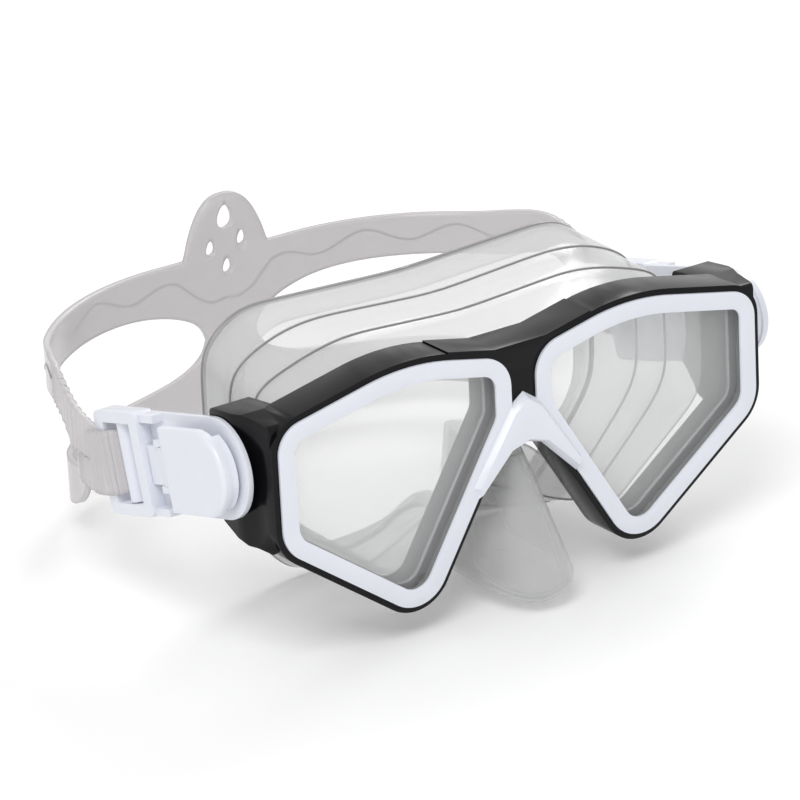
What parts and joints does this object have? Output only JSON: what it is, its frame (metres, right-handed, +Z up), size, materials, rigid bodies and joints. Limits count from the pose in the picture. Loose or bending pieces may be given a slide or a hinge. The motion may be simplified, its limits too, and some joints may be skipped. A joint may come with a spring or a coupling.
{
  "type": "diving mask",
  "caption": "Diving mask with flat twin windows, clear soft skirt with nose pocket, and a split strap on swivel buckles.",
  "frame": {"origin": "on the surface under the mask, below the middle of its plan", "axes": "+Z up, the wearer looks along -Y, +X to the wearer's left"},
  "size_m": [0.1696, 0.152, 0.077],
  "materials": {
    "black_plastic": "gloss",
    "white_plastic": "satin",
    "window_glass": "clear",
    "gasket_rubber": "matt",
    "clear_silicone": "clear",
    "strap_silicone": "clear",
    "pin_steel": "brushed",
    "spring_steel": "brushed",
    "pawl_plastic": "satin",
    "roller_plastic": "satin"
  },
  "bodies": {
    "root": {"frame": "black_plastic", "bezel": "white_plastic", "skirt": "clear_silicone", "nose_pocket": "clear_silicone", "lens_left": "window_glass", "gasket_left": "gasket_rubber", "swivel_pin_left": "pin_steel", "lens_right": "window_glass", "gasket_right": "gasket_rubber", "swivel_pin_right": "pin_steel"},
    "strap_yoke": {"strap": "strap_silicone", "buckle_base_left": "white_plastic", "pawl_pin_left": "pin_steel", "return_spring_left": "spring_steel", "strap_keeper_left": "white_plastic", "buckle_base_right": "white_plastic", "pawl_pin_right": "pin_steel", "return_spring_right": "spring_steel", "strap_keeper_right": "white_plastic"},
    "cover_left": {"release_cover_left": "white_plastic"},
    "pawl_body_left": {"pawl_left": "pawl_plastic"},
    "roller_body_left": {"strap_roller_left": "roller_plastic"},
    "cover_right": {"release_cover_right": "white_plastic"},
    "pawl_body_right": {"pawl_right": "pawl_plastic"},
    "roller_body_right": {"strap_roller_right": "roller_plastic"}
  },
  "joints": [
    {"name": "strap_swing", "type": "hinge", "parent": "root", "child": "strap_yoke", "pos_m": [0, -0.043, 0.052], "axis": [1, 0, 0], "range_deg": [-20, 70]},
    {"name": "press_left", "type": "slide", "parent": "strap_yoke", "child": "cover_left", "axis": [1, 0, 0], "range_m": [0, 0.0008], "stiffness_N_per_m": 800, "springref_m": -0.001},
    {"name": "pawl_rock_left", "type": "hinge", "parent": "strap_yoke", "child": "pawl_body_left", "pos_m": [-0.0806, -0.02165, 0.04668], "axis": [0, 0.2419, 0.9703], "range_deg": [0, 8]},
    {"name": "roller_turn_left", "type": "hinge", "parent": "strap_yoke", "child": "roller_body_left", "pos_m": [-0.08005, -0.0037, 0.0422], "axis": [0, 0.2419, 0.9703], "continuous": true},
    {"name": "press_right", "type": "slide", "parent": "strap_yoke", "child": "cover_right", "axis": [-1, 0, 0], "range_m": [0, 0.0008], "stiffness_N_per_m": 800, "springref_m": -0.001},
    {"name": "pawl_rock_right", "type": "hinge", "parent": "strap_yoke", "child": "pawl_body_right", "pos_m": [0.0806, -0.02165, 0.04668], "axis": [0, -0.2419, -0.9703], "range_deg": [0, 8]},
    {"name": "roller_turn_right", "type": "hinge", "parent": "strap_yoke", "child": "roller_body_right", "pos_m": [0.08005, -0.0037, 0.0422], "axis": [0, 0.2419, 0.9703], "continuous": true}
  ],
  "couplings": [
    {"joint": "pawl_rock_left", "follows": "press_left", "rad_per_m": 166.7},
    {"joint": "pawl_rock_right", "follows": "press_right", "rad_per_m": 166.7}
  ]
}
